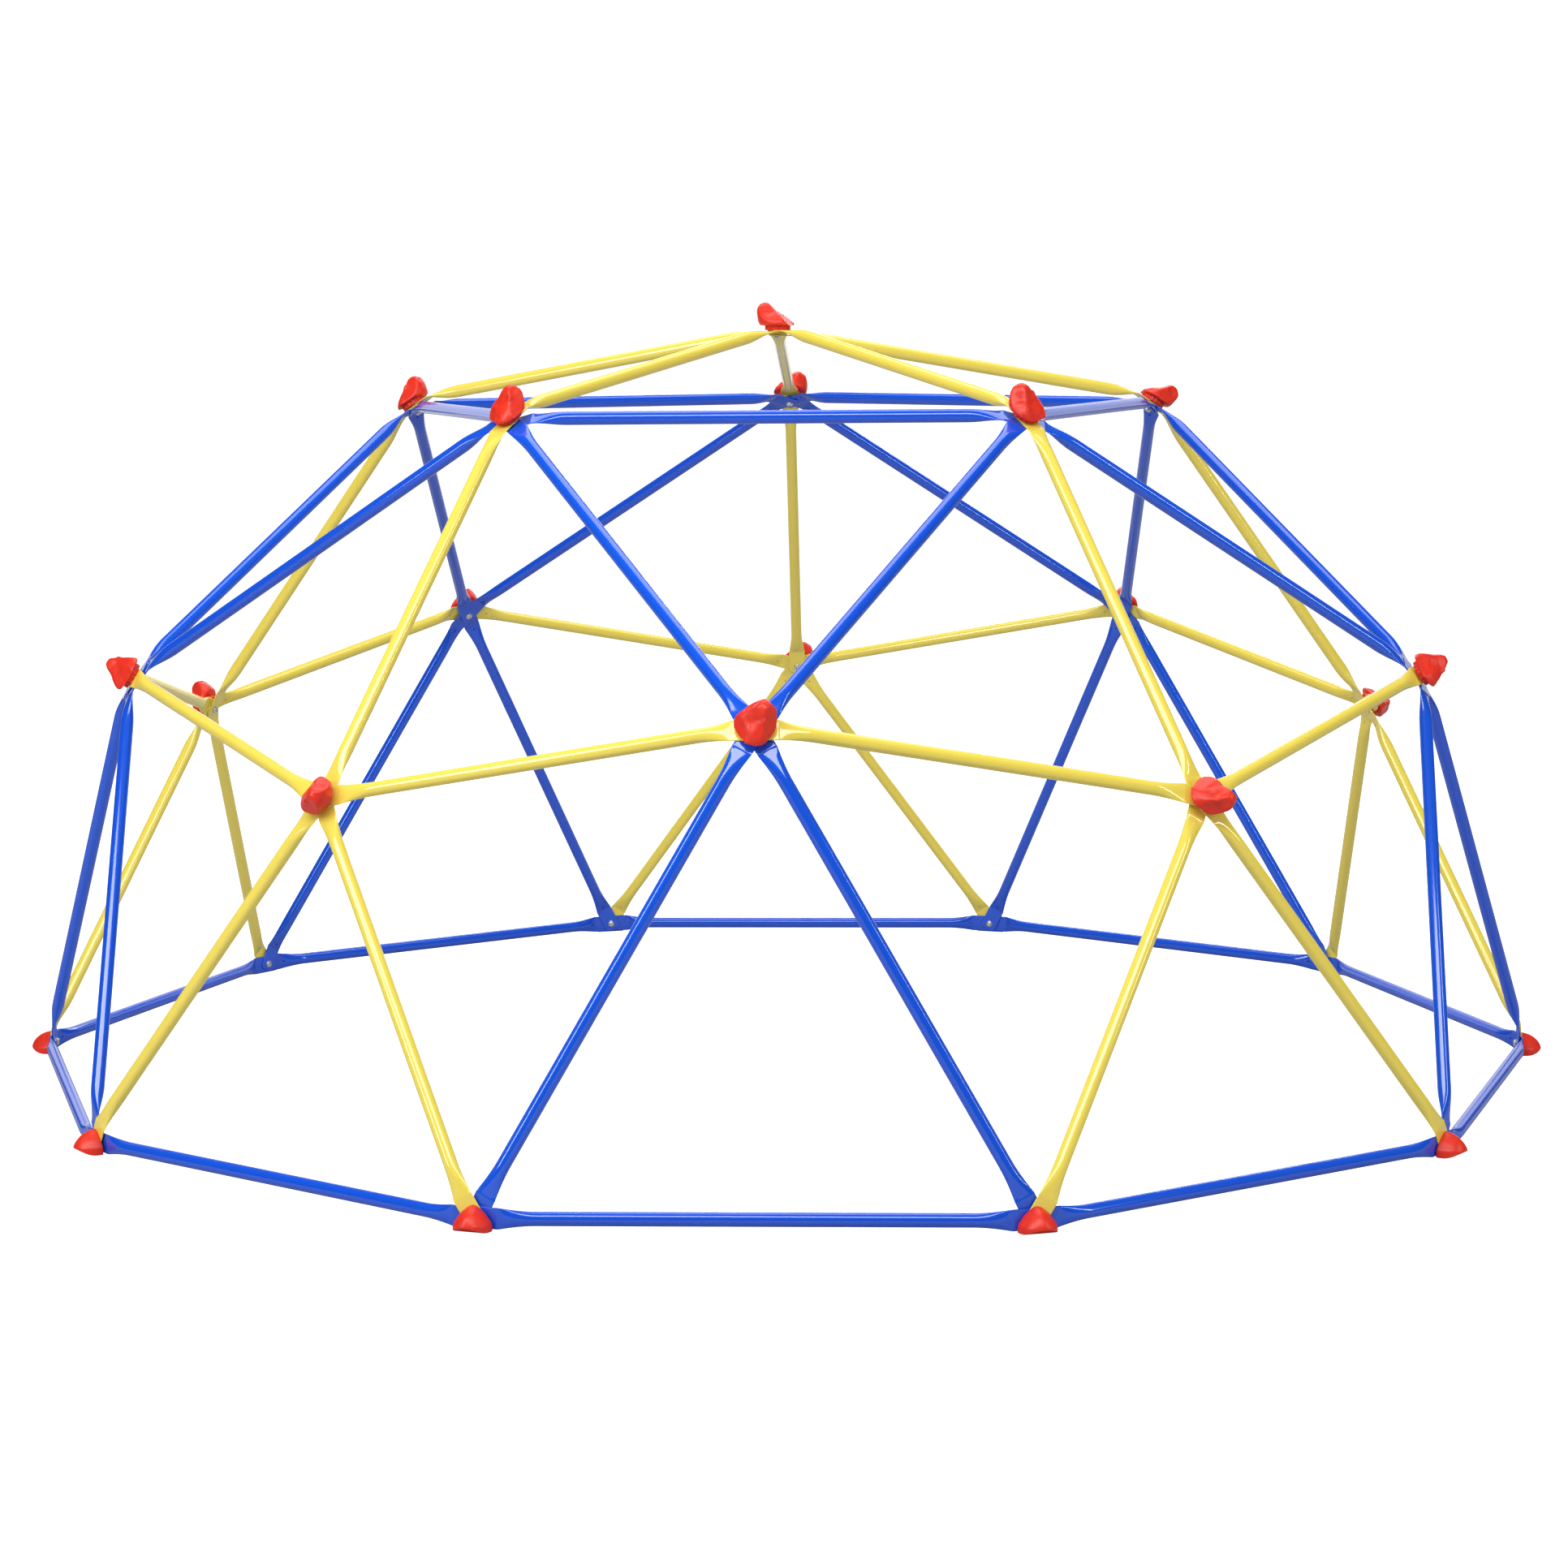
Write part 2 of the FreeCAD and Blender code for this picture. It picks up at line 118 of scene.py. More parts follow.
class Hub:
    """A bolted joint: its place, its outward axis and how many tabs are stacked on it."""

    def __init__(self, polar, azimuth, tabs, radius=HUB_RADIUS):
        polar, azimuth = math.radians(polar), math.radians(azimuth)
        self.axis = np.array([math.sin(polar) * math.cos(azimuth),
                              math.sin(polar) * math.sin(azimuth), math.cos(polar)])
        self.base = self.axis * radius + UP * HUB_HEIGHT
        self.tabs = tabs

    def level(self, index):
        """Middle of the tab at a place in the stack, counted from the inside."""
        return self.base + self.axis * ((index + 0.5) * TAB_THICKNESS)

    def outer_face(self):
        """Where the stack's outer face meets the axis, under the hold or cap."""
        return self.base + self.axis * (self.tabs * TAB_THICKNESS)

    def frame_at(self, origin, turn=0.0):
        """4x4 matrix with local Z along the axis and local X turned from uphill."""
        if self.axis[2] > 0.999:
            uphill = np.array([0.0, 1.0, 0.0])
        else:
            uphill = unit(UP - self.axis * self.axis[2])
        angle = math.radians(turn)
        x_axis = uphill * math.cos(angle) + np.cross(self.axis, uphill) * math.sin(angle)
        matrix = np.eye(4)
        matrix[:3, 0] = x_axis
        matrix[:3, 1] = np.cross(self.axis, x_axis)
        matrix[:3, 2] = self.axis
        matrix[:3, 3] = origin
        return matrix


apex = Hub(0.0, 0.0, 5, APEX_RADIUS)
crown = [Hub(CROWN_POLAR, FIFTH / 4 + FIFTH * k, 6) for k in range(6)]
lower_waist = [Hub(LOWER_WAIST_POLAR, FIFTH / 4 + FIFTH * k, 5, FIVE_WAY_RADIUS)
               for k in range(6)]
upper_waist = [Hub(UPPER_WAIST_POLAR, FIFTH * 3 / 4 + FIFTH * k, 6) for k in range(5)]
ground = [Hub(GROUND_POLAR, TENTH * j, 4) for j in range(11)]
all_hubs = [apex] + crown[:5] + lower_waist[:5] + upper_waist + ground[:10]


# Mesh helpers -------------------------------------------------------------------------

# Shifts of the surface patterns from one copy, and from one piece, to the next
COPY_SHIFT = np.array([0.0, 0.37, 0.61])
PIECE_SHIFT = np.array([0.0, 0.83, 0.29])


class Shape:
    """Points, faces and each point's local place, before they become a mesh."""

    def __init__(self, points, faces, places=None):
        self.points = np.asarray(points, float)
        self.faces = faces
        self.places = self.points if places is None else np.asarray(places, float)

    def moved(self, matrix):
        points = self.points @ matrix[:3, :3].T + matrix[:3, 3]
        return Shape(points, self.faces, self.places)


def joined(shapes):
    """Several shapes as one. Each copy's local places are shifted so patterns differ."""
    points, faces, places, start = [], [], [], 0
    for number, shape in enumerate(shapes):
        points.append(shape.points)
        places.append(shape.places + COPY_SHIFT * number)
        faces += [tuple(i + start for i in face) for face in shape.faces]
        start += len(shape.points)
    return Shape(np.concatenate(points), faces, np.concatenate(places))


def ring_faces(rings, around, first_cap=True, last_cap=True):
    """Quads between consecutive rings of the same number of points, and end caps."""
    faces = []
    for r in range(rings - 1):
        low, high = r * around, (r + 1) * around
        for i in range(around):
            j = (i + 1) % around
            faces.append((low + i, low + j, high + j, high + i))
    if first_cap:
        faces.append(tuple(reversed(range(around))))
    if last_cap:
        faces.append(tuple(range((rings - 1) * around, rings * around)))
    return faces


def lathe(profile, around):
    """Closed solid of revolution about Z from (radius, height) points, with end caps."""
    angles = np.arange(around) * 2 * math.pi / around
    points = [(r * math.cos(a), r * math.sin(a), z) for r, z in profile for a in angles]
    return Shape(points, ring_faces(len(profile), around))


def mesh_object(name, shape, material, sharp_degrees=38.0):
    mesh = bpy.data.meshes.new(name)
    mesh.from_pydata([tuple(p) for p in shape.points], [], shape.faces)
    place = mesh.attributes.new("local_place", "FLOAT_VECTOR", "POINT")
    place.data.foreach_set("vector", shape.places.astype(np.float32).ravel())
    mesh.materials.append(material)
    mesh.shade_smooth()
    mesh.set_sharp_from_angle(angle=math.radians(sharp_degrees))
    piece = bpy.data.objects.new(name, mesh)
    bpy.context.scene.collection.objects.link(piece)
    return piece


def shape_of(piece):
    """The shape of an object's mesh, with its modifiers applied."""
    evaluated = piece.evaluated_get(bpy.context.evaluated_depsgraph_get())
    mesh = evaluated.to_mesh()
    count = len(mesh.vertices)
    points = np.zeros(count * 3)
    mesh.vertices.foreach_get("co", points)
    places = np.zeros(count * 3)
    mesh.attributes["local_place"].data.foreach_get("vector", places)
    faces = [tuple(polygon.vertices) for polygon in mesh.polygons]
    evaluated.to_mesh_clear()
    return Shape(points.reshape(-1, 3), faces, places.reshape(-1, 3))


def cut(shape, cutters):
    """The shape with the cutters taken out of it."""
    body = mesh_object("body", shape, None)
    tool = mesh_object("tool", joined(cutters), None)
    modifier = body.modifiers.new("cut", "BOOLEAN")
    modifier.operation = "DIFFERENCE"
    modifier.solver = "EXACT"
    modifier.object = tool
    bpy.context.view_layer.update()
    result = shape_of(body)
    for piece in (body, tool):
        mesh = piece.data
        bpy.data.objects.remove(piece)
        bpy.data.meshes.remove(mesh)
    return result


def finished(name, shape, material, slot, *nodes):
    """A piece in place of CAD nodes, riding on the one body."""
    piece = mesh_object(name, shape, material)
    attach(piece, "root")
    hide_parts(*nodes)
    return piece


# Materials ----------------------------------------------------------------------------

class Nodes:
    """A short way to build a material's node tree."""

    def __init__(self, name):
        self.material = bpy.data.materials.new(name)
        self.material.use_nodes = True
        self.tree = self.material.node_tree
        self.tree.nodes.clear()
        self.shader = self.add("ShaderNodeBsdfPrincipled")
        output = self.add("ShaderNodeOutputMaterial")
        self.link(self.shader.outputs["BSDF"], output.inputs["Surface"])

    def add(self, kind, **settings):
        node = self.tree.nodes.new(kind)
        for key, value in settings.items():
            setattr(node, key, value)
        return node

    def link(self, source, target):
        self.tree.links.new(source, target)

    def place(self, stretch=(1, 1, 1)):
        """The local place along and across a piece, stretched."""
        source = self.add("ShaderNodeAttribute", attribute_name="local_place")
        mapping = self.add("ShaderNodeMapping")
        mapping.inputs["Scale"].default_value = stretch
        self.link(source.outputs["Vector"], mapping.inputs["Vector"])
        return mapping.outputs["Vector"]

    def noise(self, place, scale, detail=2.0, rough=0.5):
        node = self.add("ShaderNodeTexNoise")
        node.inputs["Scale"].default_value = scale
        node.inputs["Detail"].default_value = detail
        node.inputs["Roughness"].default_value = rough
        self.link(place, node.inputs["Vector"])
        return node.outputs["Fac"]

    def ramp(self, value, low, high, to_low, to_high):
        node = self.add("ShaderNodeMapRange")
        for key, number in zip(("From Min", "From Max", "To Min", "To Max"),
                               (low, high, to_low, to_high)):
            node.inputs[key].default_value = number
        self.link(value, node.inputs["Value"])
        return node.outputs["Result"]

    def mix(self, factor, first, second):
        node = self.add("ShaderNodeMix", data_type="RGBA")
        for index, colour in ((6, first), (7, second)):
            if isinstance(colour, tuple):
                node.inputs[index].default_value = colour + (1.0,)
            else:
                self.link(colour, node.inputs[index])
        self.link(factor, node.inputs[0])
        return node.outputs[2]

    def bump(self, height, strength, distance, below=None):
        node = self.add("ShaderNodeBump")
        node.inputs["Strength"].default_value = strength
        node.inputs["Distance"].default_value = distance
        self.link(height, node.inputs["Height"])
        if below is not None:
            self.link(below, node.inputs["Normal"])
        return node.outputs["Normal"]


def powder_coat(name, main, thin, deep):
    """Gloss powder coat on tube: orange peel, drawn streaks, uneven film and fine rubs."""
    nodes = Nodes(name)
    place = nodes.place()
    streaks = nodes.noise(nodes.place((0.06, 1, 1)), 260.0, 3.0)
    clouds = nodes.noise(place, 9.0, 3.0)
    rubs = nodes.noise(nodes.place((0.25, 1, 1)), 90.0, 5.0, 0.7)
    film = nodes.mix(nodes.ramp(clouds, 0.35, 0.7, 0.0, 1.0), main, deep)
    worn = nodes.mix(nodes.ramp(rubs, 0.66, 0.80, 0.0, 0.35), film, thin)
    streaked = nodes.mix(nodes.ramp(streaks, 0.35, 0.75, 0.0, 0.12), worn, thin)
    nodes.link(streaked, nodes.shader.inputs["Base Color"])
    nodes.link(nodes.ramp(rubs, 0.40, 0.80, 0.30, 0.45), nodes.shader.inputs["Roughness"])
    peel = nodes.noise(place, 380.0, 2.0)
    dust = nodes.noise(place, 1600.0, 1.0)
    first = nodes.bump(peel, 0.05, 0.4 * MM)
    second = nodes.bump(dust, 0.015, 0.1 * MM, first)
    nodes.link(second, nodes.shader.inputs["Normal"])
    nodes.shader.inputs["Specular IOR Level"].default_value = 0.08
    nodes.shader.inputs["Coat Weight"].default_value = 0.7
    nodes.shader.inputs["Coat IOR"].default_value = 1.9
    nodes.shader.inputs["Coat Roughness"].default_value = 0.09
    return nodes.material


def moulded_plastic(name, main, deep, scuffed):
    """Satin moulded plastic: faint flow marks, fine grain and pale scuffs."""
    nodes = Nodes(name)
    place = nodes.place()
    flow = nodes.noise(nodes.place((1, 1, 2.5)), 30.0, 4.0)
    scuffs = nodes.noise(nodes.place((0.4, 1, 1)), 160.0, 6.0, 0.75)
    base = nodes.mix(nodes.ramp(flow, 0.35, 0.70, 0.0, 1.0), main, deep)
    worn = nodes.mix(nodes.ramp(scuffs, 0.64, 0.80, 0.0, 0.30), base, scuffed)
    nodes.link(worn, nodes.shader.inputs["Base Color"])
    nodes.link(nodes.ramp(scuffs, 0.35, 0.80, 0.30, 0.52), nodes.shader.inputs["Roughness"])
    grain = nodes.noise(place, 1500.0, 3.0)
    lumps = nodes.noise(place, 120.0, 2.0)
    first = nodes.bump(lumps, 0.25, 0.8 * MM)
    second = nodes.bump(grain, 0.16, 0.2 * MM, first)
    nodes.link(second, nodes.shader.inputs["Normal"])
    nodes.shader.inputs["Subsurface Weight"].default_value = 0.06
    nodes.shader.inputs["Subsurface Radius"].default_value = (0.004, 0.001, 0.0005)
    return nodes.material


def zinc_plate(name, main, dull):
    """Bright zinc plate: fine turned lines and dull patches."""
    nodes = Nodes(name)
    place = nodes.place()
    lines = nodes.noise(nodes.place((1, 1, 9)), 500.0, 3.0)
    patches = nodes.noise(place, 180.0, 3.0)
    colour = nodes.mix(nodes.ramp(patches, 0.40, 0.70, 0.0, 1.0), main, dull)
    nodes.link(colour, nodes.shader.inputs["Base Color"])
    nodes.link(nodes.ramp(patches, 0.35, 0.70, 0.20, 0.42), nodes.shader.inputs["Roughness"])
    nodes.link(nodes.bump(lines, 0.15, 0.1 * MM), nodes.shader.inputs["Normal"])
    nodes.shader.inputs["Metallic"].default_value = 1.0
    return nodes.material


yellow = powder_coat("yellow_powder_coat", (0.86, 0.69, 0.096), (0.89, 0.75, 0.15),
                     (0.82, 0.655, 0.084))
blue = powder_coat("blue_powder_coat", (0.001, 0.084, 0.68), (0.004, 0.12, 0.76),
                   (0.001, 0.070, 0.61))
red = moulded_plastic("red_plastic", (0.78, 0.024, 0.004), (0.66, 0.017, 0.003),
                      (0.82, 0.08, 0.04))
zinc = zinc_plate("zinc_plate", (0.78, 0.79, 0.81), (0.58, 0.59, 0.60))


# Struts -------------------------------------------------------------------------------

def tube_ring(centre, side, out, half_height, narrowing=1.0, flattening=1.0):
    """Points around the tube squeezed to half_height, keeping its girth."""
    half_width = TUBE_RADIUS + (TUBE_RADIUS - half_height) * (math.pi / 2 - 1)
    flat = TAB_THICKNESS / 2
    roundness = (half_height - flat) / (TUBE_RADIUS - flat)
    slope = math.tan(math.pi / 8) * max(roundness, 1e-4)
    side_radius = (half_height - slope * half_width) / (1 - slope)
    corner = math.pi / 2 - 2 * math.atan(slope)
    arm = half_width - side_radius
    wide_radius = arm / math.cos(corner) + side_radius
    drop = arm * math.tan(corner)
    angles = np.linspace(-corner, corner, ARC_STEPS + 1)
    side_x = arm + side_radius * np.cos(angles)
    side_z = side_radius * np.sin(angles)
    wide_x = np.linspace(side_x[-1], -side_x[-1], ARC_STEPS + 1)[1:-1]
    wide_z = np.sqrt(wide_radius ** 2 - wide_x ** 2) - drop
    x = np.concatenate([side_x, wide_x, -side_x[::-1], -wide_x])
    z = np.concatenate([side_z, wide_z, side_z[::-1], -wide_z])
    angle = np.arctan2(z / half_height, x / half_width)
    oval = min(1.0, roundness / OVAL_FROM)
    x += oval * (half_width * np.cos(angle) - x)
    z += oval * (half_height * np.sin(angle) - z)
    return (centre + np.outer(x * narrowing, side) + np.outer(z * flattening, out),
            np.stack([x * narrowing, z * flattening], 1))


def flare_half_height(step):
    """Half height of the tube at a share of the flare, from flat to round."""
    flat = TAB_THICKNESS / 2
    return flat + (TUBE_RADIUS - flat) * math.sin(step * math.pi / 2)


def tab_narrowing(distance):
    """Width factor of the tab at a distance inwards from its tip, for rounded corners."""
    tab_half = TUBE_RADIUS + (TUBE_RADIUS - TAB_THICKNESS / 2) * (math.pi / 2 - 1)
    short = max(0.0, 1 - distance / TAB_CORNER)
    return 1 - TAB_CORNER * (1 - math.sqrt(1 - short ** 2)) / tab_half


def end_rings(bolt, axis, along, side, tube):
    """Rings of one strut end, from the tab's tip to the full tube."""
    flat = TAB_THICKNESS / 2
    crease = bolt + along * CREASE
    tube_out = unit(np.cross(side, tube))
    if tube_out @ axis < 0:
        tube_out = -tube_out
    rings = []

    def add(centre, out, half_height, narrowing=1.0, flattening=1.0):
        points, section = tube_ring(centre, side, out, half_height, narrowing, flattening)
        travelled = np.linalg.norm(centre - crease)
        if (centre - crease) @ tube < 0:
            travelled = -travelled
        rings.append((points, section, travelled))

    tip = bolt - along * TAB_END
    add(tip, axis, flat, tab_narrowing(0), TAB_TIP_FLATTENING)
    for distance in TAB_RINGS:
        add(tip + along * distance, axis, flat, tab_narrowing(distance))
    add(bolt + along * (CREASE * 0.5), axis, flat)
    add(crease - along * CREASE_HALF_LENGTH * 2, axis, flat)
    add(crease - along * CREASE_HALF_LENGTH * 0.5, axis, flat)
    add(crease, unit(axis + tube_out), flat)
    add(crease + tube * CREASE_HALF_LENGTH * 0.5, tube_out, flat)
    start = crease + tube * CREASE_HALF_LENGTH
    for step in range(FLARE_STEPS + 1):
        fraction = (step / FLARE_STEPS) ** FLARE_SPACING
        add(start + tube * (FLARE_LENGTH * fraction), tube_out,
            flare_half_height(fraction))
    drain = start + tube * DRAIN_OFFSET
    return rings, tube_out, drain


def cutter(centre, direction, radius, depth, steps=16):
    """Round cutter from centre along a direction."""
    matrix = np.array(Matrix.Translation(Vector(centre))
                      @ Vector(direction).to_track_quat("Z", "Y").to_matrix().to_4x4())
    return lathe([(radius, 0), (radius, depth)], steps).moved(matrix)


def strut(hub_a, level_a, hub_b, level_b):
    """One strut, with its bolt holes and drain holes, from hub to hub."""
    bolt_a, bolt_b = hub_a.level(level_a), hub_b.level(level_b)
    chord = bolt_b - bolt_a
    side = unit(np.cross(hub_a.axis, hub_b.axis))
    along_a = unit(chord - hub_a.axis * (chord @ hub_a.axis))
    along_b = unit(hub_b.axis * (chord @ hub_b.axis) - chord)
    start, end = bolt_a + along_a * CREASE, bolt_b + along_b * CREASE
    tube = unit(end - start)
    length = np.linalg.norm(end - start)
    rings_a, out, drain_a = end_rings(bolt_a, hub_a.axis, along_a, side, tube)
    rings_b, _, drain_b = end_rings(bolt_b, hub_b.axis, along_b, side, -tube)

    points, places = [], []
    for ring, section, travelled in rings_a:
        points.append(ring)
        places.append(np.column_stack([np.full(len(ring), travelled), section]))
    for ring, section, travelled in reversed(rings_b):
        points.append(ring)
        places.append(np.column_stack([np.full(len(ring), length - travelled), section]))
    around = len(points[0])
    shape = Shape(np.concatenate(points), ring_faces(len(points), around),
                  np.concatenate(places))
    cutters = []
    for bolt, hub, drain in ((bolt_a, hub_a, drain_a), (bolt_b, hub_b, drain_b)):
        cutters.append(cutter(bolt - hub.axis * BOLT_HOLE_CUT, hub.axis,
                              BOLT_HOLE_RADIUS, 2 * BOLT_HOLE_CUT, 24))
        inner = drain - out * TUBE_RADIUS
        cutters.append(cutter(inner, out, DRAIN_RADIUS, TUBE_RADIUS - DRAIN_FLOOR))
    return cut(shape, cutters)


def turned(shape, degrees):
    """A copy of a shape turned about the dome's axis."""
    return shape.moved(np.array(Matrix.Rotation(math.radians(degrees), 4, "Z")))


def numbered(name, shapes, material, slot):
    """One piece for each shape, each in place of the CAD node with its number."""
    for number, shape in enumerate(shapes, 1):
        node = "%s_%02d" % (name, number)
        spread = Shape(shape.points, shape.faces, shape.places + PIECE_SHIFT * number)
        finished(node + "_painted", spread, material, slot, node)


def fives(*shapes):
    """The given shapes as one group, five times around the dome."""
    group = joined(shapes)
    return [turned(group, FIFTH * k) for k in range(5)]


def build_struts():
    numbered("apex_strut", [strut(apex, k, crown[k], 5) for k in range(5)],
             yellow, "yellow_paint")
    numbered("crown_ring_strut", fives(strut(crown[0], 0, crown[1], 1)),
             blue, "blue_paint")
    numbered("upper_yellow_strut", fives(strut(crown[0], 4, lower_waist[0], 0)),
             yellow, "yellow_paint")
    numbered("upper_blue_strut_pair",
             fives(strut(crown[1], 3, upper_waist[0], 0),
                   strut(crown[0], 2, upper_waist[0], 1)), blue, "blue_paint")
    first = fives(strut(lower_waist[0], 3, upper_waist[0], 4))
    second = fives(strut(upper_waist[0], 5, lower_waist[1], 4))
    numbered("waist_strut", [piece for pair in zip(first, second) for piece in pair],
             yellow, "yellow_paint")
    numbered("blue_leg_pair",
             fives(strut(upper_waist[0], 2, ground[2], 0),
                   strut(upper_waist[0], 3, ground[1], 0)), blue, "blue_paint")
    numbered("yellow_leg_pair",
             fives(strut(lower_waist[0], 2, ground[1], 3),
                   strut(lower_waist[0], 1, ground[0], 3)), yellow, "yellow_paint")
    ring = strut(ground[0], 1, ground[1], 2)
    numbered("base_ring_strut", [turned(ring, TENTH * j) for j in range(10)],
             blue, "blue_paint")


# Fasteners ----------------------------------------------------------------------------

def bolt():
    """Button-head socket bolt, local Z from under the head to the tip."""
    dome = [(HEAD_RADIUS * math.cos(a),
             -HEAD_RIM - (HEAD_HEIGHT - HEAD_RIM) * math.sin(a))
            for a in np.linspace(0.0, HEAD_DOME_ANGLE, 7)]
    profile = [(POLE_RADIUS, -HEAD_HEIGHT), (dome[-1][0], -HEAD_HEIGHT + 0.1 * MM)]
    profile += list(reversed(dome))
    profile += [(HEAD_RADIUS, -0.2 * MM), (HEAD_RADIUS - 0.2 * MM, 0.0),
                (SHANK_RADIUS, 0.0), (SHANK_RADIUS, BOLT_LENGTH - BOLT_CHAMFER),
                (SHANK_RADIUS - BOLT_CHAMFER, BOLT_LENGTH), (POLE_RADIUS, BOLT_LENGTH)]
    body = lathe(profile, 36)
    socket = lathe([(SOCKET_RADIUS, -HEAD_HEIGHT - 1 * MM),
                    (SOCKET_RADIUS, -HEAD_HEIGHT + SOCKET_DEPTH)], 6)
    return cut(body, [socket])


def washer():
    """Flat washer with slightly rolled edges, as a closed ring."""
    edge = 0.3 * MM
    inner, outer, thick = BOLT_HOLE_RADIUS, WASHER_RADIUS, WASHER_THICKNESS
    profile = [(inner, edge), (inner + edge, 0), (outer - edge, 0), (outer, edge),
               (outer, thick - edge), (outer - edge, thick), (inner + edge, thick),
               (inner, thick - edge)]
    around = 40
    shape = lathe(profile, around)
    faces = ring_faces(len(profile), around, False, False)
    last = (len(profile) - 1) * around
    for i in range(around):
        j = (i + 1) % around
        faces.append((last + i, last + j, j, i))
    return Shape(shape.points, faces)


def build_fasteners():
    bolt_shape, washer_shape = bolt(), washer()
    places = [hub.frame_at(hub.base - hub.axis * WASHER_THICKNESS) for hub in all_hubs]
    finished("hub_bolts_plated", joined([bolt_shape.moved(m) for m in places]),
             zinc, "plated_steel", "hub_bolts")
    finished("hub_washers_plated", joined([washer_shape.moved(m) for m in places]),
             zinc, "plated_steel", "hub_washers")
    # The inserts keep the meshes of the frame, hidden in the holds and caps
    for node in ("hold_inserts", "cap_inserts"):
        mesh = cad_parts[node].data
        place = mesh.attributes.new("local_place", "FLOAT_VECTOR", "POINT")
        points = np.zeros(len(mesh.vertices) * 3, np.float32)
        mesh.vertices.foreach_get("co", points)
        place.data.foreach_set("vector", points)
        mesh.materials.clear()
        mesh.materials.append(zinc)


# Hand holds ---------------------------------------------------------------------------

HOLD_AROUND = 144
HOLD_STEPS = 5
HOLD_MIDDLE = np.array([2.0, 0.0, 22.0]) * MM
COLLAR_RADIUS = 24 * MM
COLLAR_HEIGHT = 10 * MM
COLLAR_RIBS = 16
RIB_HEIGHT = 1.5 * MM
RIB_STEEPNESS = 2.0
RIB_PHASE = 0.8
# Shape of a level of the hold: powers below 1 make the circle squarer
SQUARE_ALONG = 0.88
SQUARE_ACROSS = 0.84
WIDTH_FACTOR = 0.97
HIGH_SIDE_TAPER = 0.13
# Height, reach to the high side, reach to the low side and half width, in millimetres
HOLD_LEVELS = (
    (9.6, 33.5, 28.0, 31.5),
    (10.4, 35.3, 29.8, 34.0),
    (13.0, 37.6, 30.8, 36.0),
    (20.0, 39.8, 25.5, 35.5),
    (27.5, 41.4, 16.0, 33.5),
    (35.0, 42.0, 4.0, 30.0),
    (43.0, 40.6, -7.0, 25.0),
    (48.5, 37.6, -12.5, 19.5),
    (52.5, 33.6, -17.0, 13.5),
    (54.2, 29.5, -21.0, 7.0),
    (54.6, 26.0, -25.0, 0.6),
)
FACET_SOFTNESS = 3.5 * MM
# Facets of the hold: outward direction, distance from the origin in millimetres
HOLD_FACETS = (
    ((0.15, -0.86, 0.48), 36.5),
    ((0.10, 0.80, 0.60), 39.5),
)
# Lumps and dimples of the hold: centre, radius and height in millimetres
HOLD_LUMPS = (
    ((-8, 4, 34), 12, -2.4),
    ((5, -7, 44), 6, -2.6),
    ((8, -17, 41), 5, 3.4),
    ((16, 20, 36), 9, -2.2),
    ((22, -20, 30), 8, -1.6),
    ((-30, -8, 15), 5, 3.8),
    ((33, -13, 41), 7, 3.2),
    ((28, 14, 47), 7, 2.2),
    ((-4, 22, 26), 7, 1.6),
)
# Facet with a grooved outline on the low side, as for HOLD_FACETS
CRESCENT = ((-0.72, 0.24, 0.65), 29.0)
CRESCENT_SOFTNESS = 0.5 * MM
GROOVE_DEPTH = 1.4 * MM
GROOVE_HALF_WIDTH = 1.2 * MM
# Grain of the hold: noise cells per metre and height in millimetres
HOLD_GRAIN = ((42.0, 1.1), (105.0, 0.6))


def smooth_rows(rows, steps):
    """Rows of numbers with Catmull-Rom steps between them."""
    rows = np.array(rows, float)
    padded = np.vstack([2 * rows[0] - rows[1], rows, 2 * rows[-1] - rows[-2]])
    out = []
    for i in range(1, len(padded) - 2):
        a, b, c, d = padded[i - 1:i + 3]
        for t in np.arange(steps) / steps:
            out.append(0.5 * (2 * b + (c - a) * t + (2 * a - 5 * b + 4 * c - d) * t ** 2
                              + (3 * b - a - 3 * c + d) * t ** 3))
    out.append(rows[-1])
    return out


def hold_ring(height, high, low, half_width):
    """One level of the hold: a rounded square, a little narrower at its high side."""
    angles = np.arange(HOLD_AROUND) * 2 * math.pi / HOLD_AROUND
    cosine, sine = np.cos(angles), np.sin(angles)
    along = np.sign(cosine) * np.abs(cosine) ** SQUARE_ALONG
    across = np.sign(sine) * np.abs(sine) ** SQUARE_ACROSS
    x = (high - low) / 2 + (high + low) / 2 * along
    y = half_width * WIDTH_FACTOR * across * (1 - HIGH_SIDE_TAPER * cosine)
    return np.column_stack([x, y, np.full(HOLD_AROUND, height)]) * MM


def outward(points):
    """Direction of each point away from the middle of the hold."""
    away = points - HOLD_MIDDLE
    return away / np.linalg.norm(away, axis=1)[:, None]


def press(points, normal, distance, softness=FACET_SOFTNESS):
    """Presses points that stand beyond a plane back to it, with a rounded edge."""
    normal = unit(np.array(normal, float))
    beyond = points @ normal - distance * MM
    pressed = np.where(beyond > -softness,
                       (beyond + softness) ** 2 / (4 * softness), 0.0)
    pressed = np.where(beyond > softness, beyond, pressed)
    return points - np.outer(pressed, normal)


